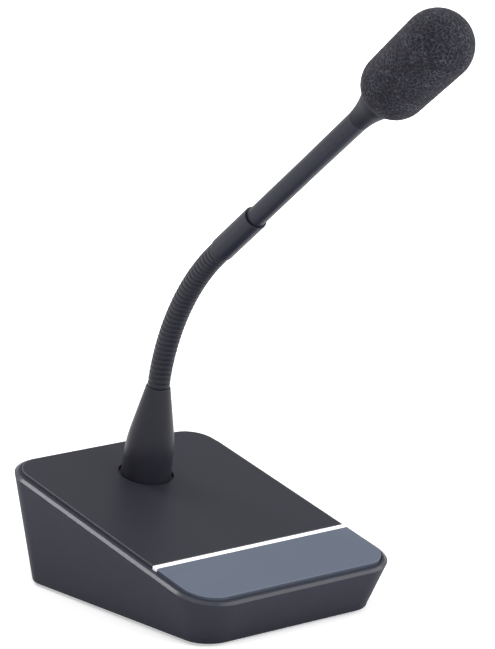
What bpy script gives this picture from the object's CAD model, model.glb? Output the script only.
from math import asin, cos, pi, radians, sin, sqrt

import bmesh
import bpy
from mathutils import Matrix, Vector


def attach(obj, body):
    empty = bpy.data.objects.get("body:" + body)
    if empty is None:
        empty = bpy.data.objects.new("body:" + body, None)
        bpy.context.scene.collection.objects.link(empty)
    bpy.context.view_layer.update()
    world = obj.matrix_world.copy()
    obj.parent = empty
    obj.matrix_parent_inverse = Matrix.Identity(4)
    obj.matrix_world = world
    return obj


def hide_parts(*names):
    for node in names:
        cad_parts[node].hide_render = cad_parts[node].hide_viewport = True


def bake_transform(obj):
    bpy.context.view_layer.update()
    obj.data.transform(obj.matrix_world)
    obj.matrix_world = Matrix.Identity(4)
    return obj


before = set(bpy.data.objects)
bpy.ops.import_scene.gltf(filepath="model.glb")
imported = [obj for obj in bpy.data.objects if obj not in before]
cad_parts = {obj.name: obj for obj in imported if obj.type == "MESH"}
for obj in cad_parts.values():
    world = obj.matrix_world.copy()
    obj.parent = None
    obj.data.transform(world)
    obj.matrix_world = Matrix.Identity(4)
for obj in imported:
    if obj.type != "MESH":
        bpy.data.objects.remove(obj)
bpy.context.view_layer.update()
print("frame loaded:", len(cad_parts), "nodes")

# Measures that the pieces share
mm = 0.001
near = 0.02  # how close counts as on a plane, in millimetres
facing = 0.99  # cosine from which a face counts as square to a direction
quarterTurn = pi / 2
cornerSteps = 14  # steps round an outline's corner
flatShade, turnedShade, ribShade, foamShade = 30, 34, 40, 60  # degrees up to which faces shade as one
slope = radians(12.9)  # slope of the top face
slopeStart = Vector((0, -75.85, 24.9))  # front edge of the top face
slopeUp = Vector((0, -sin(slope), cos(slope)))
headTilt = radians(53.1)
neckEnd = Vector((0, -18.994, 168.669))  # upper end of the ribbed neck


# Selection and shaping

def clearSelection():
    if bpy.context.object and bpy.context.object.mode != "OBJECT":
        bpy.ops.object.mode_set(mode="OBJECT")
    bpy.ops.object.select_all(action="DESELECT")


def activate(piece):
    clearSelection()
    piece.select_set(True)
    bpy.context.view_layer.objects.active = piece


def settle(piece):
    activate(piece)
    bpy.ops.object.transform_apply(location=True, rotation=True, scale=True)


def place(piece, where, tilt=0.0):
    piece.rotation_euler = (tilt, 0, 0)
    piece.location = Vector(where) * mm
    settle(piece)


def pick(piece, kind, test):
    # select what the test says, by its middle in millimetres and its normal
    activate(piece)
    bpy.ops.object.mode_set(mode="EDIT")
    bpy.ops.mesh.select_mode(type=kind)
    bpy.ops.mesh.select_all(action="DESELECT")
    work = bmesh.from_edit_mesh(piece.data)
    for item in {"VERT": work.verts, "EDGE": work.edges, "FACE": work.faces}[kind]:
        corners = [item] if kind == "VERT" else item.verts
        middle = sum((v.co for v in corners), Vector()) / len(corners)
        normal = item.normal if kind == "FACE" else None
        if test(middle / mm, normal):
            item.select = True
    work.select_flush_mode()
    bmesh.update_edit_mesh(piece.data)


def everything(middle, normal):
    return True


def setOut(name, centre, size=(1, 1, 1), turn=(0, 0, 0)):
    # the primitive just added, named, sized and turned where it belongs
    piece = bpy.context.object
    piece.name = piece.data.name = name
    piece.scale = size
    piece.rotation_euler = turn
    piece.location = Vector(centre) * mm
    settle(piece)
    return piece


def startPlate(name, width, length, centre=(0, 0, 0)):
    clearSelection()
    bpy.ops.mesh.primitive_plane_add(size=1)
    return setOut(name, centre, (width * mm, length * mm, 1))


def roundCorners(piece, radius, steps, test=everything):
    pick(piece, "VERT", test)
    bpy.ops.mesh.bevel(affect="VERTICES", offset=radius * mm, segments=steps, profile=0.5)
    bpy.ops.object.mode_set(mode="OBJECT")


def thicken(piece, drop):
    pick(piece, "FACE", everything)
    bpy.ops.mesh.extrude_region_move(TRANSFORM_OT_translate={"value": (0, 0, -drop * mm)})
    bpy.ops.object.mode_set(mode="OBJECT")


def softenEdges(piece, width, steps, test):
    pick(piece, "EDGE", test)
    bpy.ops.mesh.bevel(affect="EDGES", offset=width * mm, segments=steps, profile=0.5)
    bpy.ops.object.mode_set(mode="OBJECT")


def chamferTop(piece, across, rise, up, test):
    # a flat chamfer round a top face: inset, then raised
    pick(piece, "FACE", test)
    bpy.ops.mesh.inset(thickness=across * mm, depth=0)
    bpy.ops.transform.translate(value=Vector(up) * rise * mm)
    bpy.ops.object.mode_set(mode="OBJECT")


def startBlock(name, size, centre):
    clearSelection()
    bpy.ops.mesh.primitive_cube_add(size=1)
    return setOut(name, centre, Vector(size) * mm)


def startRod(name, radius, length, centre, steps=48, turn=(0, 0, 0)):
    clearSelection()
    bpy.ops.mesh.primitive_cylinder_add(vertices=steps, radius=radius * mm, depth=length * mm)
    return setOut(name, centre, turn=turn)


def spinProfile(name, profile, steps=96):
    # a profile of (radius, height) points, extruded from one vertex and spun about Z
    clearSelection()
    bpy.ops.mesh.primitive_plane_add(size=mm)
    piece = bpy.context.object
    piece.name = piece.data.name = name
    bpy.ops.object.mode_set(mode="EDIT")
    bpy.ops.mesh.select_mode(type="VERT")
    bpy.ops.mesh.select_all(action="SELECT")
    bpy.ops.mesh.merge(type="CENTER")
    points = [Vector((r, 0, z)) * mm for r, z in profile]
    bpy.ops.transform.translate(value=points[0])
    for last, point in zip(points, points[1:]):
        bpy.ops.mesh.extrude_vertices_move(TRANSFORM_OT_translate={"value": point - last})
    bpy.ops.mesh.select_all(action="SELECT")
    bpy.ops.mesh.spin(steps=steps, angle=2 * pi, center=(0, 0, 0), axis=(0, 0, 1))
    bpy.ops.object.mode_set(mode="OBJECT")
    closeUp(piece)
    return piece


def closeUp(piece):
    # weld what meets and turn every face outward
    pick(piece, "VERT", everything)
    bpy.ops.mesh.remove_doubles(threshold=2e-6)
    bpy.ops.mesh.normals_make_consistent(inside=False)
    bpy.ops.object.mode_set(mode="OBJECT")


def join(piece, *others):
    activate(piece)
    for other in others:
        other.select_set(True)
    bpy.ops.object.join()
    return piece


def applyModifier(piece, kind, **settings):
    activate(piece)
    bpy.ops.object.modifier_add(type=kind)
    step = piece.modifiers[-1]
    for key, value in settings.items():
        setattr(step, key, value)
    bpy.ops.object.modifier_apply(modifier=step.name)


def combine(piece, operation, *others):
    for other in others:
        applyModifier(piece, "BOOLEAN", operation=operation, solver="EXACT", object=other)
        bpy.data.objects.remove(other)


def cutAway(piece, *cutters):
    combine(piece, "DIFFERENCE", *cutters)


def finishPiece(piece, material, body, nodes, angle, edge=None):
    # smooth normals that follow the large faces, one material and perhaps one for an edge;
    # a blended piece has no body here
    faceWeight = 60
    settle(piece)
    bpy.ops.object.shade_smooth_by_angle(angle=radians(angle))
    applyModifier(piece, "WEIGHTED_NORMAL", keep_sharp=True, weight=faceWeight)
    piece.data.materials.clear()
    piece.data.materials.append(material)
    if edge:
        edgeMaterial, onEdge = edge
        piece.data.materials.append(edgeMaterial)
        pick(piece, "FACE", onEdge)
        piece.active_material_index = 1
        bpy.ops.object.material_slot_assign()
        bpy.ops.object.mode_set(mode="OBJECT")
    if body:
        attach(piece, body)
    if nodes:
        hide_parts(*nodes)
    print("made", piece.name, len(piece.data.polygons), "faces")


# Materials

def hexColor(text):
    channels = [int(text[i:i + 2], 16) / 255 for i in (1, 3, 5)]
    linear = [c / 12.92 if c <= 0.04045 else ((c + 0.055) / 1.055) ** 2.4 for c in channels]
    return (*linear, 1.0)


def addNode(tree, kind, values=None, links=None, **settings):
    node = tree.nodes.new(kind)
    for key, value in settings.items():
        setattr(node, key, value)
    for key, value in (values or {}).items():
        node.inputs[key].default_value = value
    for key, source in (links or {}).items():
        tree.links.new(source, node.inputs[key])
    return node


def startMaterial(name):
    material = bpy.data.materials.new(name)
    material.use_nodes = True
    tree = material.node_tree
    tree.nodes.clear()
    return material, tree


def grainedMaterial(name, look):
    # a surface with a fine grain: its colour and roughness vary a little, and its bump follows the grain
    low, high = 0.35, 0.65  # nearly all of the mixed noise lies between these
    smoothest, roughest = look["rough"]
    material, tree = startMaterial(name)
    coords = addNode(tree, "ShaderNodeTexCoord")
    stretch = addNode(tree, "ShaderNodeMapping", {"Scale": look.get("stretch", (1, 1, 1))},
                      {"Vector": coords.outputs["Object"]})
    grain = addNode(tree, "ShaderNodeTexNoise",
                    {"Scale": 1 / (look["grain"] * mm), "Detail": 3.0, "Roughness": 0.6},
                    {"Vector": stretch.outputs["Vector"]})
    cloud = addNode(tree, "ShaderNodeTexNoise",
                    {"Scale": 1 / (look["cloud"] * mm), "Detail": 2.0},
                    {"Vector": coords.outputs["Object"]})
    mixed = addNode(tree, "ShaderNodeMath", {1: 0.5}, {0: grain.outputs["Fac"]}, operation="MULTIPLY_ADD")
    halfCloud = addNode(tree, "ShaderNodeMath", {1: 0.5}, {0: cloud.outputs["Fac"]}, operation="MULTIPLY")
    tree.links.new(halfCloud.outputs[0], mixed.inputs[2])
    colour = addNode(tree, "ShaderNodeValToRGB", None, {"Fac": mixed.outputs[0]})
    colour.color_ramp.elements[0].position = low
    colour.color_ramp.elements[0].color = hexColor(look["dark"])
    colour.color_ramp.elements[1].position = high
    colour.color_ramp.elements[1].color = hexColor(look["light"])
    rough = addNode(tree, "ShaderNodeMapRange",
                    {"From Min": low, "From Max": high, "To Min": smoothest, "To Max": roughest},
                    {"Value": mixed.outputs[0]})
    bump = addNode(tree, "ShaderNodeBump", {"Strength": look["bump"], "Distance": look["height"] * mm},
                   {"Height": grain.outputs["Fac"]})
    shader = addNode(tree, "ShaderNodeBsdfPrincipled",
                     {"Metallic": look.get("metallic", 0.0), "IOR": 1.5,
                      "Specular IOR Level": look.get("specular", 0.5),
                      "Coat Weight": look.get("coat", 0.0), "Coat Roughness": 0.3},
                     {"Base Color": colour.outputs["Color"], "Roughness": rough.outputs["Result"],
                      "Normal": bump.outputs["Normal"]})
    addNode(tree, "ShaderNodeOutputMaterial", None, {"Surface": shader.outputs["BSDF"]})
    return material


# Moulded ABS: spark-eroded tool, so a faint even grain and a broad satin sheen;
# the real grain is about 0.1 mm, drawn coarser so that it shows
housingAbs = grainedMaterial("moulded_abs_charcoal", {
    "dark": "#3b3c45", "light": "#3f404a", "grain": 0.45, "cloud": 30, "rough": (0.42, 0.48),
    "bump": 0.08, "height": 0.05, "specular": 0.04})
# The same ABS where the tool is polished: the rim's bevel catches the light as a clean line
rimPolish = grainedMaterial("polished_abs_charcoal", {
    "dark": "#3b3c45", "light": "#3f404a", "grain": 0.6, "cloud": 30, "rough": (0.19, 0.23),
    "bump": 0.02, "height": 0.03, "specular": 0.26})
# Anodised aluminium sheet, bead-blasted: very even, with a soft broad reflection
plateAluminium = grainedMaterial("anodised_aluminium_charcoal", {
    "dark": "#27282f", "light": "#2a2b33", "grain": 0.4, "cloud": 45, "rough": (0.45, 0.50),
    "bump": 0.06, "height": 0.04, "specular": 0.08})
# Its edge was cut before it was blasted and anodised, so it stays brighter
plateEdge = grainedMaterial("anodised_aluminium_cut_edge", {
    "dark": "#44454c", "light": "#494a52", "grain": 0.4, "cloud": 45, "rough": (0.26, 0.32),
    "bump": 0.02, "height": 0.02, "specular": 0.2})
# Soft-touch paint on polycarbonate: matt, blue-grey, hardly any highlight
barPaint = grainedMaterial("soft_touch_paint_bluegrey", {
    "dark": "#5a6271", "light": "#5e6675", "grain": 0.4, "cloud": 35, "rough": (0.52, 0.58),
    "bump": 0.08, "height": 0.04, "specular": 0.12})
# The same paint, rubbed smooth along the key's edge
barEdge = grainedMaterial("soft_touch_paint_rubbed", {
    "dark": "#5f6877", "light": "#636c7b", "grain": 0.4, "cloud": 35, "rough": (0.26, 0.32),
    "bump": 0.03, "height": 0.02, "specular": 0.25})
# Glass-filled nylon, moulded: darker than the housing, with a broad soft highlight
collarNylon = grainedMaterial("moulded_nylon_black", {
    "dark": "#26262f", "light": "#2a2a34", "grain": 0.45, "cloud": 20, "rough": (0.40, 0.46),
    "bump": 0.08, "height": 0.05, "specular": 0.22})
# Powder-coated aluminium tube: satin with a faint orange peel
tubeCoat = grainedMaterial("powder_coated_aluminium", {
    "dark": "#242632", "light": "#282a37", "grain": 0.9, "cloud": 20, "rough": (0.36, 0.42),
    "bump": 0.06, "height": 0.05, "specular": 0.22})
# Moulded polyamide of the head: the tube's colour, but duller
headNylon = grainedMaterial("moulded_polyamide_charcoal", {
    "dark": "#1d1f28", "light": "#21232c", "grain": 0.5, "cloud": 20, "rough": (0.44, 0.50),
    "bump": 0.08, "height": 0.05, "specular": 0.13})
# Black-oxide spring steel, wound: satin crests, dull in the grooves
neckSteel = grainedMaterial("black_oxide_spring_steel", {
    "dark": "#272831", "light": "#2d2e37", "grain": 0.5, "cloud": 8, "rough": (0.42, 0.52),
    "bump": 0.08, "height": 0.04, "specular": 0.24})
rubberBlack = grainedMaterial("moulded_rubber_black", {
    "dark": "#131314", "light": "#1a1a1b", "grain": 0.6, "cloud": 6, "rough": (0.72, 0.82),
    "bump": 0.2, "height": 0.08})
# Zinc-plated steel: pale, slightly blue, fine drawing lines
zincSteel = grainedMaterial("zinc_plated_steel", {
    "dark": "#a7a9ae", "light": "#bcbec2", "grain": 0.3, "cloud": 5, "rough": (0.28, 0.40),
    "bump": 0.08, "height": 0.03, "metallic": 1.0})
rolledSteel = grainedMaterial("rolled_steel_sheet", {
    "dark": "#8d9096", "light": "#a3a6ab", "grain": 0.5, "cloud": 25, "rough": (0.34, 0.48),
    "bump": 0.10, "height": 0.03, "metallic": 1.0, "stretch": (1, 0.08, 1)})
turnedBrass = grainedMaterial("turned_brass", {
    "dark": "#b08d4a", "light": "#c9a660", "grain": 0.25, "cloud": 4, "rough": (0.24, 0.34),
    "bump": 0.06, "height": 0.02, "metallic": 1.0, "stretch": (1, 1, 6)})
boardResin = grainedMaterial("glass_epoxy_board_green", {
    "dark": "#1f5a36", "light": "#27693f", "grain": 0.8, "cloud": 9, "rough": (0.30, 0.38),
    "bump": 0.12, "height": 0.03, "coat": 0.3})
mouldedBlack = grainedMaterial("moulded_epoxy_black", {
    "dark": "#18181a", "light": "#202022", "grain": 0.35, "cloud": 5, "rough": (0.45, 0.55),
    "bump": 0.12, "height": 0.03})
creamNylon = grainedMaterial("moulded_nylon_cream", {
    "dark": "#d9d3c2", "light": "#e5e0d0", "grain": 0.4, "cloud": 5, "rough": (0.42, 0.5),
    "bump": 0.08, "height": 0.03})
redAcetal = grainedMaterial("moulded_acetal_red", {
    "dark": "#a83a2a", "light": "#b8432f", "grain": 0.3, "cloud": 3, "rough": (0.30, 0.38),
    "bump": 0.06, "height": 0.02})
lampResin = grainedMaterial("lamp_resin_clear", {
    "dark": "#efe9cf", "light": "#f6f1dc", "grain": 0.3, "cloud": 2, "rough": (0.12, 0.18),
    "bump": 0.03, "height": 0.02})
nickelCan = grainedMaterial("nickel_plated_can", {
    "dark": "#b1b0ac", "light": "#c4c3bf", "grain": 0.3, "cloud": 4, "rough": (0.20, 0.30),
    "bump": 0.05, "height": 0.02, "metallic": 1.0})


def opalAcrylic():
    # Opal acrylic with lamps behind it: white all over, and it glows a little
    look = {"base": "#f4f5f7", "glow": "#ffffff", "strength": (0.3948, 0.4452), "lamp": 19.0,
            "noise": (0.3, 0.7), "rough": 0.32, "ior": 1.49}
    material, tree = startMaterial("opal_acrylic_lit")
    coords = addNode(tree, "ShaderNodeTexCoord")
    shape = addNode(tree, "ShaderNodeTexNoise", {"Scale": 1 / (look["lamp"] * mm), "Detail": 1.0},
                    {"Vector": coords.outputs["Object"]})
    glow = addNode(tree, "ShaderNodeMapRange",
                   {"From Min": look["noise"][0], "From Max": look["noise"][1],
                    "To Min": look["strength"][0], "To Max": look["strength"][1]},
                   {"Value": shape.outputs["Fac"]})
    shader = addNode(tree, "ShaderNodeBsdfPrincipled",
                     {"Base Color": hexColor(look["base"]), "Roughness": look["rough"], "IOR": look["ior"],
                      "Emission Color": hexColor(look["glow"])},
                     {"Emission Strength": glow.outputs["Result"]})
    addNode(tree, "ShaderNodeOutputMaterial", None, {"Surface": shader.outputs["BSDF"]})
    return material


def openCellFoam():
    # Reticulated polyurethane foam: open pores between thin struts, so a dark ground with fine pale specks
    look = {"pore": ("#26262c", 0.12), "ground": ("#3a3a42", 0.42), "strut": ("#5a5a64", 0.72),
            "cell": 1.7, "strutEdge": (0.02, 0.28), "specks": 1.6, "clump": 5.5, "clumpShift": -0.28,
            "bump": 0.45, "height": 0.35, "rough": 0.75, "specular": 0.1}
    material, tree = startMaterial("open_cell_foam_black")
    coords = addNode(tree, "ShaderNodeTexCoord")
    cells = addNode(tree, "ShaderNodeTexVoronoi", {"Scale": 1 / (look["cell"] * mm), "Randomness": 1.0},
                    {"Vector": coords.outputs["Object"]}, feature="DISTANCE_TO_EDGE")
    specks = addNode(tree, "ShaderNodeTexNoise",
                     {"Scale": look["specks"] / (look["cell"] * mm), "Detail": 2.0, "Roughness": 0.7},
                     {"Vector": coords.outputs["Object"]})
    clumps = addNode(tree, "ShaderNodeTexNoise", {"Scale": 1 / (look["clump"] * mm), "Detail": 2.0},
                     {"Vector": coords.outputs["Object"]})
    strut = addNode(tree, "ShaderNodeMapRange",
                    {"From Min": look["strutEdge"][0], "From Max": look["strutEdge"][1],
                     "To Min": 1.0, "To Max": 0.0},
                    {"Value": cells.outputs["Distance"]})
    share = addNode(tree, "ShaderNodeMath", None,
                    {0: strut.outputs["Result"], 1: specks.outputs["Fac"]}, operation="MULTIPLY")
    patches = addNode(tree, "ShaderNodeMath", {2: look["clumpShift"]},
                      {0: clumps.outputs["Fac"], 1: specks.outputs["Fac"]}, operation="MULTIPLY_ADD")
    height = addNode(tree, "ShaderNodeMath", None, {0: share.outputs[0], 1: patches.outputs[0]},
                     operation="ADD")
    colour = addNode(tree, "ShaderNodeValToRGB", None, {"Fac": height.outputs[0]})
    stops = colour.color_ramp.elements
    for stop, (shade, position) in zip(stops, (look["pore"], look["strut"])):
        stop.position = position
        stop.color = hexColor(shade)
    shade, position = look["ground"]
    stops.new(position).color = hexColor(shade)
    bump = addNode(tree, "ShaderNodeBump", {"Strength": look["bump"], "Distance": look["height"] * mm},
                   {"Height": height.outputs[0]})
    shader = addNode(tree, "ShaderNodeBsdfPrincipled",
                     {"Roughness": look["rough"], "Specular IOR Level": look["specular"]},
                     {"Base Color": colour.outputs["Color"], "Normal": bump.outputs["Normal"]})
    addNode(tree, "ShaderNodeOutputMaterial", None, {"Surface": shader.outputs["BSDF"]})
    return material


stripOpal = opalAcrylic()
foamBlack = openCellFoam()
print("materials made:", len(bpy.data.materials))


# Camera at the photograph's angle
view = {"place": (-0.97617, -1.25448, 0.47731), "turn": (77.69, 0.0, -38.74), "lens": 194.51,
        "sensor": 36.0, "clip": (0.05, 50.0)}
clearSelection()
bpy.ops.object.camera_add(location=view["place"], rotation=[radians(a) for a in view["turn"]])
camera = bpy.context.object
camera.name = "camera"
camera.data.lens = view["lens"]
camera.data.sensor_width = view["sensor"]
camera.data.clip_start, camera.data.clip_end = view["clip"]
bpy.context.scene.camera = camera
bpy.context.scene.view_settings.view_transform = "Standard"


# Places on the sloped top and on the head

def onSlope(x, along, up=0.0):
    return slopeStart + Vector((x, along * cos(slope), along * sin(slope))) + up * slopeUp


def aboveSlope(point):
    return (point - slopeStart).dot(slopeUp)


def leans(normal, least, most=0.95):
    # whether a face is off the slope's own direction, by the cosine between them
    return least < normal.dot(slopeUp) < most


def onHead(along):
    return neckEnd + along * Vector((0, -sin(headTilt), cos(headTilt)))


# Housing
housing = {"foot": (103.4, 141.7), "footRadius": 13.5, "lift": 1.2, "footRound": 1.5, "footSteps": 5,
           "rim": (120.0, 160.0), "rimRadius": 19.8, "rimFront": -4.3, "rimDrop": 1.6,
           "rimBevel": (1.6, 0.9), "bevelLean": 0.7, "bevelSpan": (-2.6, -1.55), "rimEdge": (0.12, 2),
           "wall": 2.4, "deck": 2.5, "hollowStart": 0.2,
           "bar": (112.2, 34.0), "barRadius": 14.0, "windowGap": 0.5, "windowBack": (0.6, 3),
           "windowTop": 1.0, "windowDepth": 12.0, "collarAt": 118.5, "shankHole": 7.1, "shankDepth": 20.0,
           "landAt": (0, 71.857, 24.0), "land": (28, 20), "landCorner": (3.0, 5), "landDepth": 20.0,
           "landInner": 68.857, "padAround": 3.0, "padDepth": 40.0,
           "jackHole": 4.85, "jackDepth": 30.0, "jackShift": 5.0}


def shellForm(name, inset, drop, lowest):
    # the foot outline bridged to the sloped rim outline
    h = housing
    width, depth = h["foot"]
    lower = startPlate(name, width - 2 * inset, depth - 2 * inset, (0, 0, lowest))
    roundCorners(lower, h["footRadius"] - inset, cornerSteps)
    width, length = h["rim"]
    upper = startPlate(name + "_rim", width - 2 * inset, length - 2 * inset,
                       (0, h["rimFront"] + length / 2, -drop))
    roundCorners(upper, h["rimRadius"] - inset, cornerSteps)
    place(upper, slopeStart, slope)
    join(lower, upper)
    pick(lower, "FACE", everything)
    bpy.ops.mesh.delete(type="ONLY_FACE")
    pick(lower, "EDGE", everything)
    bpy.ops.mesh.bridge_edge_loops()
    bpy.ops.object.mode_set(mode="OBJECT")
    return lower


def capLoop(piece, test):
    pick(piece, "VERT", test)
    bpy.ops.mesh.edge_face_add()
    bpy.ops.object.mode_set(mode="OBJECT")


def makeShell():
    # the outside: the walls, the rim with its bevel and the rounded foot
    h = housing
    foot, top = h["lift"] + h["footRound"], -h["rimDrop"]
    shell = shellForm("housing_shell", 0, h["rimDrop"] + h["rimBevel"][1], foot)
    capLoop(shell, lambda middle, normal: middle.z > foot + near)
    chamferTop(shell, *h["rimBevel"], slopeUp, lambda middle, normal: normal.dot(slopeUp) > facing)
    closeUp(shell)
    softenEdges(shell, *h["rimEdge"], lambda middle, normal: abs(aboveSlope(middle) - top) < near)
    capLoop(shell, lambda middle, normal: middle.z < foot + near)
    pick(shell, "FACE", lambda middle, normal: middle.z < foot + near)
    bpy.ops.mesh.extrude_region_move(TRANSFORM_OT_translate={"value": (0, 0, -h["footRound"] * mm)})
    softenEdges(shell, h["footRound"], h["footSteps"], lambda middle, normal: middle.z < h["lift"] + near)
    closeUp(shell)
    return shell


def makeHollow():
    # the inside, less the pad of solid wall behind the jack's land
    h = housing
    hollow = shellForm("housing_hollow", h["wall"], h["rimDrop"] + h["deck"], h["hollowStart"])
    capLoop(hollow, lambda middle, normal: middle.z > h["lift"])
    capLoop(hollow, lambda middle, normal: middle.z < h["lift"])
    closeUp(hollow)
    x, _, z = h["landAt"]
    width, height = [size + 2 * h["padAround"] for size in h["land"]]
    pad = startBlock("land_pad", (width, h["padDepth"], height), (x, h["landInner"] + h["padDepth"] / 2, z))
    cutAway(hollow, pad)
    return hollow


def makeHousing():
    h = housing
    shell = makeShell()
    hollow = makeHollow()
    width, length = h["bar"]
    gap, half = h["windowGap"], length / 2
    window = startPlate("bar_window", width + 2 * gap, length + 2 * gap, (0, half, h["windowTop"]))
    roundCorners(window, h["barRadius"] + gap, cornerSteps, lambda middle, normal: middle.y < half)
    roundCorners(window, *h["windowBack"], lambda middle, normal: middle.y > half)
    thicken(window, h["windowDepth"])
    place(window, slopeStart, slope)
    closeUp(window)
    shank = startRod("shank_hole", h["shankHole"], h["shankDepth"], (0, h["collarAt"], 0))
    place(shank, slopeStart, slope)
    land = startPlate("land_cut", *h["land"])
    roundCorners(land, *h["landCorner"])
    thicken(land, h["landDepth"])
    place(land, h["landAt"], quarterTurn)
    closeUp(land)
    x, y, z = h["landAt"]
    jack = startRod("jack_hole", h["jackHole"], h["jackDepth"], (x, y - h["jackShift"], z),
                    turn=(quarterTurn, 0, 0))
    cutAway(shell, hollow, window, shank, land, jack)

    lowest, highest = h["bevelSpan"]

    def onBevel(middle, normal):
        return leans(normal, h["bevelLean"]) and lowest < aboveSlope(middle) < highest
    finishPiece(shell, housingAbs, "base", ["housing"], flatShade, (rimPolish, onBevel))


makeHousing()


# Top plate
plate = {"width": 112.2, "front": 37.7, "back": 151.4, "radius": 14.0, "frontCorner": (0.4, 3), "thick": 1.6,
         "edge": (0.35, 0.2), "edgeLean": -0.3, "hole": 13.4, "holeAt": 118.5, "holeDepth": 8.0,
         "holeSides": 96, "holeEdge": 2.0, "studs": [(-44, 59.7), (44, 59.7), (-44, 123.91), (44, 123.91)],
         "stud": (1.5, 7.0), "studSink": 0.2, "studSides": 24}


def facingUp(middle, normal):
    return normal.z > facing


def makePlate():
    p = plate
    half = (p["front"] + p["back"]) / 2
    across, rise = p["edge"]
    piece = startPlate("top_plate_sheet", p["width"], p["back"] - p["front"], (0, half, -rise))
    roundCorners(piece, p["radius"], cornerSteps, lambda middle, normal: middle.y > half)
    roundCorners(piece, *p["frontCorner"], lambda middle, normal: middle.y < p["front"] + near)
    thicken(piece, p["thick"] - rise)
    closeUp(piece)
    chamferTop(piece, across, rise, (0, 0, 1), facingUp)
    cutAway(piece, startRod("collar_hole", p["hole"], p["holeDepth"], (0, p["holeAt"], 0), p["holeSides"]))
    closeUp(piece)
    radius, length = p["stud"]
    z = -p["thick"] - length / 2 + p["studSink"]
    join(piece, *[startRod("stud", radius, length, (x, y, z), p["studSides"]) for x, y in p["studs"]])
    place(piece, slopeStart, slope)

    def onRim(middle, normal):
        away = (middle - onSlope(0, p["holeAt"])).length - p["hole"]
        return leans(normal, p["edgeLean"]) and away > p["holeEdge"] and aboveSlope(middle) > -p["thick"]
    finishPiece(piece, plateAluminium, "base", ["top_plate"], flatShade, (plateEdge, onRim))


makePlate()


# Light bar
strip = {"width": 112.2, "front": 34.58, "back": 37.45, "top": -0.1, "bottom": -1.6, "edge": (0.1, 3),
         "pegs": 6, "pegReach": 46.0, "pegRadius": 1.0, "pegAt": 36.35, "pegEnd": -5.7, "pegSides": 20}


def makeStrip():
    s = strip
    half = (s["front"] + s["back"]) / 2
    piece = startPlate("light_strip", s["width"], s["back"] - s["front"], (0, half, s["top"]))
    thicken(piece, s["top"] - s["bottom"])
    closeUp(piece)
    softenEdges(piece, *s["edge"], lambda middle, normal: middle.z > s["bottom"] + near)
    closeUp(piece)
    reach, high, low = s["pegReach"], s["bottom"], s["pegEnd"]
    for i in range(s["pegs"]):
        where = (-reach + 2 * reach * i / (s["pegs"] - 1), s["pegAt"], (high + low) / 2)
        join(piece, startRod("peg", s["pegRadius"], high - low, where, s["pegSides"]))
    place(piece, slopeStart, slope)
    finishPiece(piece, stripOpal, "base", ["light_bar"], flatShade)


makeStrip()


# Talk bar
talkBar = {"width": 112.2, "length": 34.48, "radius": 14.0, "backCorner": (0.8, 4), "thick": 2.5,
           "edge": (0.35, 0.2), "edgeLean": 0.5, "squareReach": 0.05, "root": 2.0,
           "skirtInset": 0.3, "skirt": 1.5, "skirtLength": 22.0, "skirtTop": 1.5, "skirtEnd": 4.5,
           "hinge": (30.0, -7.5), "earX": 44.0, "earWide": 4.0, "earRadius": 3.0, "earSides": 40,
           "pinHole": 1.3, "pinCut": 8.0, "pinSides": 32,
           "hookX": 28.0, "hookWide": 8.0, "hookAt": 2.4, "hookLeg": 2.0, "hookEnd": 11.8,
           "springX": 38.0, "springAt": 12.3, "nub": (1.9, 1.5), "nubSink": 0.5, "nubSides": 24,
           "pusherAt": 14.0, "pusher": 2.5, "pusherEnd": 9.464, "pusherSides": 32,
           "dome": (15, 30, 45, 60, 75)}


def makeSkirt():
    # the outline's front, drawn down and given its wall
    t = talkBar
    inset, length, top = t["skirtInset"], t["skirtLength"], t["skirtTop"]
    skirt = startPlate("skirt", t["width"] - 2 * inset, length, (0, inset + length / 2, -top))
    roundCorners(skirt, t["radius"] - inset, cornerSteps, lambda middle, normal: middle.y < inset + near)
    pick(skirt, "FACE", everything)
    bpy.ops.mesh.delete(type="ONLY_FACE")
    pick(skirt, "EDGE", lambda middle, normal: middle.y > inset + length - near)
    bpy.ops.mesh.delete(type="EDGE")
    pick(skirt, "EDGE", everything)
    bpy.ops.mesh.extrude_region_move(TRANSFORM_OT_translate={"value": (0, 0, (top - t["skirtEnd"]) * mm)})
    bpy.ops.mesh.select_all(action="SELECT")
    bpy.ops.mesh.normals_make_consistent(inside=False)
    bpy.ops.object.mode_set(mode="OBJECT")
    front = sum(face.normal.y for face in skirt.data.polygons if abs(face.normal.y) > facing)
    applyModifier(skirt, "SOLIDIFY", thickness=t["skirt"] * mm, offset=-1 if front < 0 else 1)
    return skirt


def makeEar(side):
    # hinge ear on its post; the posts, legs and pusher begin inside the bar, at its root depth
    t = talkBar
    x, (along, up) = side * t["earX"], t["hinge"]
    turn = (0, quarterTurn, 0)
    ear = startRod("ear", t["earRadius"], t["earWide"], (x, along, up), t["earSides"], turn)
    post = startBlock("post", (t["earWide"], 2 * t["earRadius"], -up - t["root"]),
                      (x, along, (up - t["root"]) / 2))
    hole = startRod("pin_hole", t["pinHole"], t["pinCut"], (x, along, up), t["pinSides"], turn)
    combine(ear, "UNION", post)
    cutAway(ear, hole)
    return ear


def makeHook(side):
    t = talkBar
    x, wide, thick, end = side * t["hookX"], t["hookWide"], t["hookLeg"], t["hookEnd"]
    leg = startBlock("leg", (wide, thick, end - t["root"]),
                     (x, t["hookAt"] + thick / 2, -(end + t["root"]) / 2))
    toe = startBlock("toe", (wide, 2 * thick, thick), (x, t["hookAt"], thick / 2 - end))
    combine(leg, "UNION", toe)
    return leg


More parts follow.
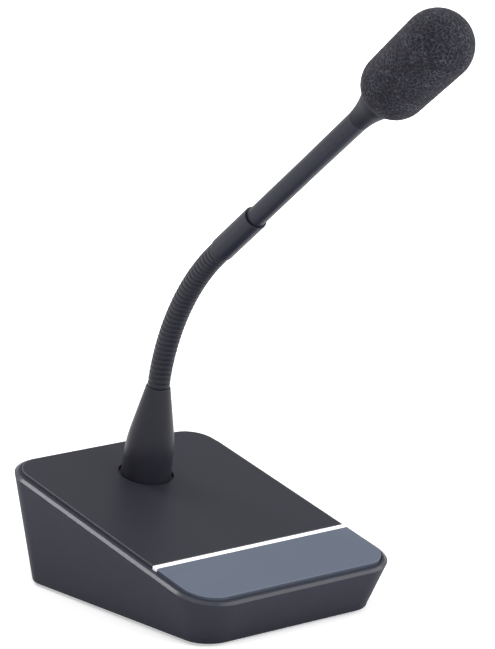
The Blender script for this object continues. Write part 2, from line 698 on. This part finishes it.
def makePusher():
    # a round stem with a domed end, over the switch's plunger
    t = talkBar
    radius, root, end = t["pusher"], -t["root"], -t["pusherEnd"]
    dome = [(radius * cos(radians(a)), end - radius * sin(radians(a))) for a in t["dome"]]
    profile = [(0, root), (radius, root), (radius, end)] + dome + [(0, dome[-1][1])]
    pusher = spinProfile("pusher", profile, t["pusherSides"])
    place(pusher, (0, t["pusherAt"], 0))
    return pusher


def makeTalkBar():
    t = talkBar
    length, (across, rise) = t["length"], t["edge"]
    piece = startPlate("talk_bar_key", t["width"], length, (0, length / 2, -rise))
    roundCorners(piece, t["radius"], cornerSteps, lambda middle, normal: middle.y < near)
    roundCorners(piece, *t["backCorner"], lambda middle, normal: middle.y > length - near)
    thicken(piece, t["thick"] - rise)
    closeUp(piece)
    chamferTop(piece, across, rise, (0, 0, 1), facingUp)
    back = length - across - t["squareReach"]
    pick(piece, "VERT", lambda middle, normal: middle.z > -near and middle.y > back)
    bpy.ops.transform.translate(value=(0, across * mm, 0))  # square along the light bar
    bpy.ops.object.mode_set(mode="OBJECT")
    closeUp(piece)
    extras = [makeSkirt()]
    nubRadius, nubLength = t["nub"]
    nubZ = t["nubSink"] / 2 - t["thick"] - nubLength / 2
    for side in (-1, 1):
        extras += [makeEar(side), makeHook(side),
                   startRod("nub", nubRadius, nubLength + t["nubSink"],
                            (side * t["springX"], t["springAt"], nubZ), t["nubSides"])]
    join(piece, *extras, makePusher())
    place(piece, slopeStart, slope)

    def onRim(middle, normal):
        return leans(normal, t["edgeLean"]) and aboveSlope(middle) > -rise
    finishPiece(piece, barPaint, "talk_bar", ["talk_bar"], flatShade, (barEdge, onRim))


makeTalkBar()


# Return springs under the talk bar
springs = {"diameter": 6.0, "wire": 0.6, "turns": 4.5, "x": 38.0, "along": 12.3, "low": -8.98, "high": -2.52,
           "sides": 10, "rings": 24}


def makeSprings():
    # a ring of wire screwed into a coil; the coils shorten between the housing and the key
    s = springs
    radius, rise = (s["diameter"] - s["wire"]) / 2, s["high"] - s["low"] - s["wire"]
    coils = []
    for side in (-1, 1):
        clearSelection()
        bpy.ops.mesh.primitive_circle_add(vertices=s["sides"], radius=s["wire"] / 2 * mm,
                                          rotation=(quarterTurn, 0, 0), location=(radius * mm, 0, 0))
        coil = bpy.context.object
        coil.name = coil.data.name = "return_springs"
        settle(coil)
        applyModifier(coil, "SCREW", axis="Z", angle=2 * pi * s["turns"],
                      steps=round(s["rings"] * s["turns"]), screw_offset=rise * mm)
        pick(coil, "VERT", everything)
        bpy.ops.mesh.fill_holes(sides=0)
        bpy.ops.object.mode_set(mode="OBJECT")
        closeUp(coil)
        place(coil, onSlope(side * s["x"], s["along"], s["low"] + s["wire"] / 2), slope)
        coils.append(coil)
    piece = join(*coils)
    finishPiece(piece, zincSteel, None, ["talk_springs"], ribShade)
    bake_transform(piece)


makeSprings()


# Collar
collar = {"foot": 12.1, "sink": -1.6, "knee": (11.7, 16.8), "top": (5.85, 45.5), "blend": 6.0,
          "edge": 0.4, "edgeSteps": 3, "shank": (7.0, -11.3), "bore": 2.5, "socket": (4.85, 33.5),
          "at": 118.5}


def bend(a, b, c, steps=10):
    # points of a quadratic curve from a to c that leaves towards b
    return [tuple((1 - t) ** 2 * p + 2 * t * (1 - t) * q + t * t * r for p, q, r in zip(a, b, c))
            for t in [i / steps for i in range(steps + 1)]]


def toward(a, b, distance):
    start, stop = Vector(a), Vector(b)
    return tuple(start + (stop - start).normalized() * distance)


def makeCollar():
    c = collar
    foot, knee, top, edge = (c["foot"], 0.0), c["knee"], c["top"], c["edge"]
    lowest = (c["bore"], c["shank"][1])
    profile = [lowest, c["shank"], (c["shank"][0], c["sink"]), (c["foot"], c["sink"]), foot]
    profile += bend(toward(knee, foot, c["blend"]), knee, toward(knee, top, c["blend"]))
    profile += bend(toward(top, knee, edge), top, (top[0] - edge, top[1]), c["edgeSteps"])
    profile += [(c["socket"][0], top[1]), c["socket"], (c["bore"], c["socket"][1]), lowest]
    piece = spinProfile("collar_cone", profile)
    place(piece, onSlope(0, c["at"]), slope)
    finishPiece(piece, collarNylon, "base", ["collar"], turnedShade)


makeCollar()


# Ribbed neck
neck = {"ribs": 33, "pitch": 2.715, "rib": 5.35, "core": 5.02, "bore": 2.2, "groove": 0.55, "crest": 0.5,
        "lip": 0.1, "crestSteps": 5, "ribSides": 64, "sections": [2] + [4] * 7 + [3], "turn": 40.2,
        "start": (0, 29.5013, 95.7068), "spigot": 4.75, "spigotLength": 11.0, "spigotSides": 48}


def neckPath():
    # foot and tilt of each rib: the tilt runs evenly between the sections' middles
    n = neck
    middles, run = [], 0.0
    for count in n["sections"]:
        middles.append((run + count / 2, len(middles) * n["turn"] / (len(n["sections"]) - 1)))
        run += count
    tilts = []
    for i in range(n["ribs"]):
        at = i + 0.5
        if at <= middles[0][0]:
            tilt = middles[0][1]
        elif at >= middles[-1][0]:
            tilt = middles[-1][1]
        else:
            low, high = next((a, b) for a, b in zip(middles, middles[1:]) if a[0] <= at <= b[0])
            tilt = low[1] + (high[1] - low[1]) * (at - low[0]) / (high[0] - low[0])
        tilts.append(slope + radians(tilt))
    feet = [Vector(n["start"])]
    for tilt in tilts:
        feet.append(feet[-1] + n["pitch"] * Vector((0, -sin(tilt), cos(tilt))))
    miss = neckEnd - feet[-1]
    feet = [p + miss * i / n["ribs"] for i, p in enumerate(feet)]
    return feet, tilts


def makeRib():
    # one turn of the neck: a rounded crest on the core, closed at its bore
    n = neck
    half, bore, core, outer = n["pitch"] / 2, n["bore"], n["core"], n["rib"]
    side = half - n["groove"] / 2
    crest = [(core, -half), (core, -side)]
    crest += bend((core + n["lip"], -side), (outer, -side), (outer, -side + 2 * n["crest"]), n["crestSteps"])
    crest += [(x, -z) for x, z in reversed(crest)]
    return spinProfile("neck_rib", [(bore, -half)] + crest + [(bore, half), (bore, -half)], n["ribSides"])


def addSpigot(rib, low, high, where, tilt):
    # the plain end of the neck, inside the collar or the sleeve
    bore, outer = neck["bore"], neck["spigot"]
    profile = [(bore, low), (outer, low), (outer, high), (bore, high), (bore, low)]
    spigot = spinProfile("spigot", profile, neck["spigotSides"])
    place(spigot, where, tilt)
    join(rib, spigot)


def makeNeck():
    # a rib at each end rides with its body, and each band between bends from one body to the next
    feet, tilts = neckPath()
    pattern = makeRib()
    owners = ["base"] + [1] * 3 + [k for k in range(2, 8) for i in range(4)] + [8] * 4 + ["head"]
    bands = {}
    for i, owner in enumerate(owners):
        activate(pattern)
        bpy.ops.object.duplicate(linked=False)
        rib = bpy.context.object
        rib.name = rib.data.name = "rib_%02d" % (i + 1)
        place(rib, (feet[i] + feet[i + 1]) / 2, tilts[i])
        bands.setdefault(owner, []).append((i, rib))
    bpy.data.objects.remove(pattern)
    for owner, ribs in bands.items():
        piece = ribs[0][1]
        if owner == "base":
            addSpigot(piece, -neck["spigotLength"], 0, feet[0], slope)
            piece.name = piece.data.name = "neck_root"
            finishPiece(piece, neckSteel, "base", ["neck_section_01"], ribShade)
        elif owner == "head":
            addSpigot(piece, 0, neck["spigotLength"], feet[-1], headTilt)
            piece.name = piece.data.name = "neck_crown"
            finishPiece(piece, neckSteel, "head", ["neck_section_09"], ribShade)
        else:
            join(piece, *[rib for i, rib in ribs[1:]])
            piece.name = piece.data.name = "neck_band_%d" % owner
            stands = ["neck_section_%02d" % (owner + 1)] if owner < 8 else []
            finishPiece(piece, neckSteel, None, stands, ribShade)
            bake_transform(piece)


makeNeck()


# Sleeve, tube and head
head = {"sleeve": 5.8, "sleeveStart": 0.05, "sleeveEnd": 31.05, "sleeveBore": 4.85,
        "edge": (0.4, 3), "foot": (0.75, 5), "recess": (5.275, 0.6),
        "tube": 4.75, "tubeBore": 3.5, "tubeStart": 12.0, "tubeEnd": 120.15, "taper": (85.0, 0.22),
        "seam": 120.2, "seamEdge": (0.12, 0.15), "flareStart": 117.0, "flareRadius": 48.0, "flareEnd": 132.0,
        "tubeSteps": 8, "flareSteps": 16, "mouth": (8.6, 137.2), "mouthSteps": 8, "mouthLip": 1.0,
        "barrel": 8.0, "barrelEnd": 178.51, "barrelEdge": 0.3, "barrelBore": 7.0,
        "leadBore": 2.0, "joint": (3.45, 103.1), "cavity": 137.31}


def makeSleeve():
    h = head
    radius, bore, start, end = h["sleeve"], h["sleeveBore"], h["sleeveStart"], h["sleeveEnd"]
    (edge, edgeSteps), (foot, footSteps), (recess, depth) = h["edge"], h["foot"], h["recess"]
    profile = [(bore, start)]
    profile += bend((radius - foot, start), (radius, start), (radius, start + foot), footSteps)
    profile += bend((radius, end - edge), (radius, end), (radius - edge, end), edgeSteps)
    profile += [(recess, end), (recess, end - depth), (bore, end - depth), (bore, start)]
    piece = spinProfile("sleeve_tube", profile)
    place(piece, onHead(0), headTilt)
    finishPiece(piece, tubeCoat, "head", ["neck_sleeve"], turnedShade)


def stemRadius(at):
    # the tube grows a little towards the head, and then the flare begins
    start, rise = head["taper"]
    run = max(0, at - head["flareStart"])
    return (head["tube"] + rise * min(1, max(0, (at - start) / (head["flareStart"] - start)))
            + run * run / (2 * head["flareRadius"]))


def stemWall(start, end, steps):
    return [(stemRadius(at), at) for at in [start + (end - start) * i / steps for i in range(steps + 1)]]


def makeTube():
    h = head
    start, end, (groove, land) = h["tubeStart"], h["tubeEnd"], h["seamEdge"]
    profile = [(h["tubeBore"], start), (h["tube"], start), (h["tube"], h["taper"][0])]
    profile += stemWall(h["flareStart"], end - land, h["tubeSteps"])
    profile += [(stemRadius(end) - groove, end), (h["tubeBore"], end), (h["tubeBore"], start)]
    piece = spinProfile("stem_tube", profile)
    place(piece, onHead(0), headTilt)
    finishPiece(piece, tubeCoat, "head", ["neck_tube"], turnedShade)


def makeHead():
    # the flare goes on from the tube's and eases into the mouth; the barrel is inside the foam
    h = head
    groove, land = h["seamEdge"]
    seam, flareEnd, barrel, barrelEnd = h["seam"], h["flareEnd"], h["barrel"], h["barrelEnd"]
    flare = stemWall(seam + land, flareEnd, h["flareSteps"])
    last, rise = flare[-1][0], (flareEnd - h["flareStart"]) / h["flareRadius"]
    meet = flareEnd + 0.5 * (h["mouth"][0] - last) / rise
    flare += bend(flare[-1], (last + rise * (meet - flareEnd), meet), h["mouth"], h["mouthSteps"])[1:]
    lowest = (h["leadBore"], h["joint"][1])
    profile = [lowest, h["joint"], (h["joint"][0], seam), (stemRadius(seam) - groove, seam)]
    profile += flare
    profile += [(barrel, h["mouth"][1] + h["mouthLip"]), (barrel, barrelEnd - h["barrelEdge"]),
                (barrel - h["barrelEdge"], barrelEnd), (h["barrelBore"], barrelEnd),
                (h["barrelBore"], h["cavity"]), (h["leadBore"], h["cavity"]), lowest]
    piece = spinProfile("head_shell", profile)
    place(piece, onHead(0), headTilt)
    finishPiece(piece, headNylon, "head", ["head_housing"], turnedShade)


makeSleeve()
makeTube()
makeHead()


# Foam windscreen; each relief has its name, its pattern, its size, its depth and its middle level
foam = {"back": 15.1, "front": 15.85, "base": 134.51, "tip": 198.51, "bore": 8.3, "boreEnd": 180.31,
        "step": 0.55, "boreStep": 2.0, "skinFrom": (0.3, 1.0), "fill": 0.9,
        "relief": [("foam_lumps", "CLOUDS", 5.0, 0.1, 0.5), ("foam_cells", "VORONOI", 1.6, 0.14, 0.3)]}


def arcPoints(radius, at, start, stop):
    count = max(2, round(radius * (stop - start) / foam["step"]))
    return [(radius * cos(a), at + radius * sin(a))
            for a in [start + (stop - start) * i / count for i in range(count + 1)]]


def foamOutline():
    # two balls and the cone that touches both, from the edge of the bore to the tip
    f = foam
    backAt, frontAt = f["base"] + f["back"], f["tip"] - f["front"]
    lean = asin((f["front"] - f["back"]) / (frontAt - backAt))
    lowest = -asin(sqrt(1 - (f["bore"] / f["back"]) ** 2))
    back = arcPoints(f["back"], backAt, lowest, -lean)
    front = arcPoints(f["front"], frontAt, -lean, quarterTurn)
    a, b = Vector(back[-1]), Vector(front[0])
    count = round((b - a).length / f["step"])
    return back + [tuple(a.lerp(b, i / count)) for i in range(1, count)] + front[:-1] + [(0.0, f["tip"])]


def makeFoam():
    f = foam
    outer = foamOutline()
    bore, end, start = f["bore"], f["boreEnd"], outer[0][1]
    count = round((end - start) / f["boreStep"])
    inner = [(0.0, end), (bore, end)] + [(bore, end + (start - end) * i / count) for i in range(1, count)]
    piece = spinProfile("windscreen_foam", inner + outer, round(2 * pi * f["front"] / f["step"]))
    group = piece.vertex_groups.new(name="skin")  # the bore stays smooth
    widest, deepest = bore + f["skinFrom"][0], end + f["skinFrom"][1]
    group.add([v.index for v in piece.data.vertices
               if Vector(v.co[:2]).length > widest * mm or v.co.z > deepest * mm], 1.0, "REPLACE")
    for name, kind, size, depth, level in f["relief"]:
        pattern = bpy.data.textures.new(name, kind)
        pattern.noise_scale = size * mm
        applyModifier(piece, "DISPLACE", texture=pattern, texture_coords="LOCAL", strength=depth * mm,
                      mid_level=level, vertex_group="skin")
    place(piece, onHead(0), headTilt)
    finishPiece(piece, foamBlack, "head", ["windscreen"], foamShade)


makeFoam()


# Finishes of the CAD nodes that stay
finishes = {
    zincSteel: ["base_screws", "plate_nuts", "light_screws", "hinge_pin", "board_screws",
                "jack_nut", "collar_washer", "collar_nut"],
    rolledSteel: ["base_plate", "ballast"],
    rubberBlack: ["rubber_feet", "capsule_boot", "mic_lead"],
    boardResin: ["light_board", "main_board"],
    mouldedBlack: ["talk_switch", "board_chips", "board_capacitors", "jack_socket", "head_grille"],
    creamNylon: ["board_connectors"],
    turnedBrass: ["board_standoffs"],
    redAcetal: ["switch_plunger"],
    lampResin: ["light_leds"],
    nickelCan: ["capsule"],
}
for material, names in finishes.items():
    for name in names:
        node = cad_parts[name]
        node.data.materials.clear()
        node.data.materials.append(material)
print("finishes set")


# Floor, backdrop and light; each lamp has its place, its aim, its size and its power
studio = {"floor": "#f6f6f7", "floorSize": 14.0, "floorGlow": (0.42, 1.0), "glowFrom": (0.25, 0.8),
          "world": 0.40,
          "lamps": [("right", (0.92, -0.21, 1.17), (0.0, 0.0, 0.05), 1.0, 6.5),
                    ("behind", (-0.06, 0.78, 1.34), (0.0, 0.0, 0.05), 0.34, 3.4),
                    ("front", (0.5, -1.3, 0.8), (0.0, 0.0, 0.05), 0.9, 9.2),
                    ("left", (-0.585, -0.345, 1.41), (0.0, -0.1, 0.2), 0.7, 4.2),
                    ("rear", (-0.36, 0.85, 1.0), (0.0, -0.1, 0.22), 0.34, 6.4)]}


def cameraShare(tree):
    # 1 for what the camera sees, straight or in a mirror or glass
    path = addNode(tree, "ShaderNodeLightPath")
    share = path.outputs["Is Camera Ray"]
    for kind in ("Is Glossy Ray", "Is Transmission Ray"):
        share = addNode(tree, "ShaderNodeMath", None, {0: share, 1: path.outputs[kind]},
                        operation="MAXIMUM").outputs[0]
    return share


def makeFloor():
    # a matt floor that glows more the farther it is from the part, so that it runs into the white behind
    s = studio
    clearSelection()
    bpy.ops.mesh.primitive_plane_add(size=s["floorSize"])
    floor = bpy.context.object
    floor.name = "floor"
    material, tree = startMaterial("studio_floor")
    paint = addNode(tree, "ShaderNodeBsdfDiffuse", {"Color": hexColor(s["floor"]), "Roughness": 1.0})
    coords = addNode(tree, "ShaderNodeTexCoord")
    away = addNode(tree, "ShaderNodeVectorMath", None, {0: coords.outputs["Object"]}, operation="LENGTH")
    level = addNode(tree, "ShaderNodeMapRange",
                    {"From Min": s["glowFrom"][0], "From Max": s["glowFrom"][1],
                     "To Min": s["floorGlow"][0], "To Max": s["floorGlow"][1]},
                    {"Value": away.outputs["Value"]}, interpolation_type="SMOOTHSTEP")
    share = addNode(tree, "ShaderNodeMath", None, {0: cameraShare(tree), 1: level.outputs["Result"]},
                    operation="MULTIPLY")
    glow = addNode(tree, "ShaderNodeEmission", {"Color": (1, 1, 1, 1)}, {"Strength": share.outputs[0]})
    both = addNode(tree, "ShaderNodeAddShader", None, {0: paint.outputs[0], 1: glow.outputs[0]})
    addNode(tree, "ShaderNodeOutputMaterial", None, {"Surface": both.outputs[0]})
    floor.data.materials.append(material)


def makeLight():
    s = studio
    world = bpy.data.worlds.new("studio")
    bpy.context.scene.world = world
    world.use_nodes = True
    tree = world.node_tree
    tree.nodes.clear()
    strength = addNode(tree, "ShaderNodeMapRange", {"To Min": s["world"], "To Max": 1.0},
                       {"Value": cameraShare(tree)})
    sky = addNode(tree, "ShaderNodeBackground", {"Color": (1, 1, 1, 1)},
                  {"Strength": strength.outputs["Result"]})
    addNode(tree, "ShaderNodeOutputWorld", None, {"Surface": sky.outputs[0]})
    for name, where, aim, size, power in s["lamps"]:
        bpy.ops.object.light_add(type="AREA", location=where)
        lamp = bpy.context.object
        lamp.name = "lamp_" + name
        lamp.data.size = size
        lamp.data.energy = power
        lamp.rotation_euler = (Vector(aim) - Vector(where)).to_track_quat("-Z", "Y").to_euler()


makeFloor()
makeLight()
print("studio made")
